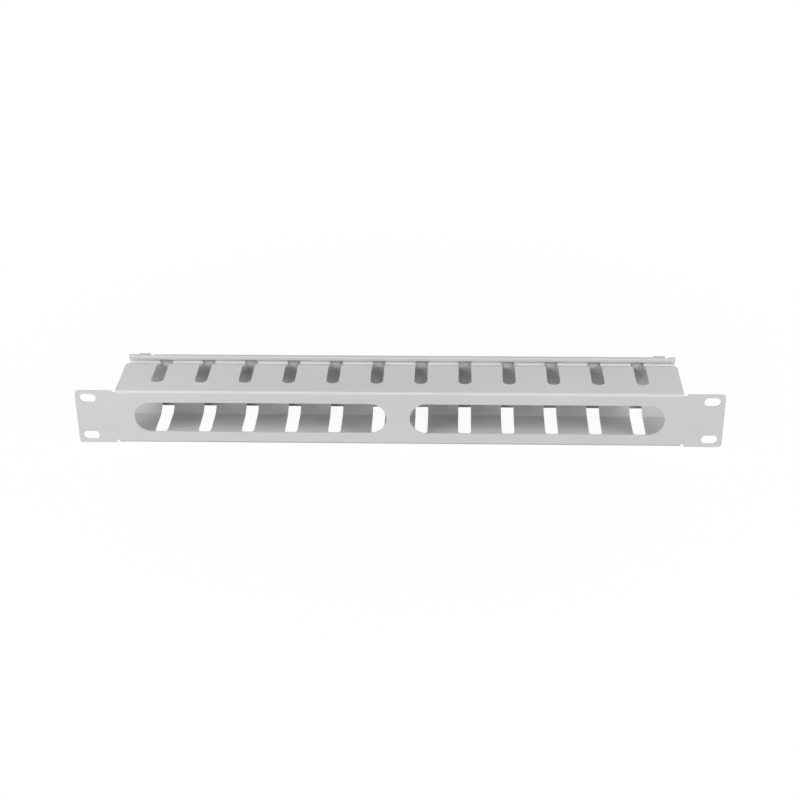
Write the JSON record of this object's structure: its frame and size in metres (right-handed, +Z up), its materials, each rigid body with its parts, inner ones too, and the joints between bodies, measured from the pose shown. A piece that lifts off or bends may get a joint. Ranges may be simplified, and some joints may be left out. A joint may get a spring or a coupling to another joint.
{
  "type": "horizontal cable manager",
  "caption": "Folded-steel cable duct for a 19 inch rack: slotted fingers above and below, two long cable windows in the panel and a removable channel cover.",
  "frame": {"origin": "centre of the rack mounting face, in the middle of the four rack slots", "axes": "+X along the panel, +Y from the mounting face into the duct and out to the cover, +Z up"},
  "size_m": [0.484, 0.0624, 0.0446],
  "materials": {
    "body_paint": "light grey powder coat, fine texture",
    "cover_paint": "light grey powder coat, fine texture"
  },
  "bodies": {
    "duct": {"duct_body": "body_paint"},
    "front_cover": {"cover": "cover_paint"}
  },
  "joints": [
    {"name": "cover_slide", "type": "slide", "parent": "duct", "child": "front_cover", "axis": [1, 0, 0], "range_m": [-0.43, 0.43]}
  ]
}
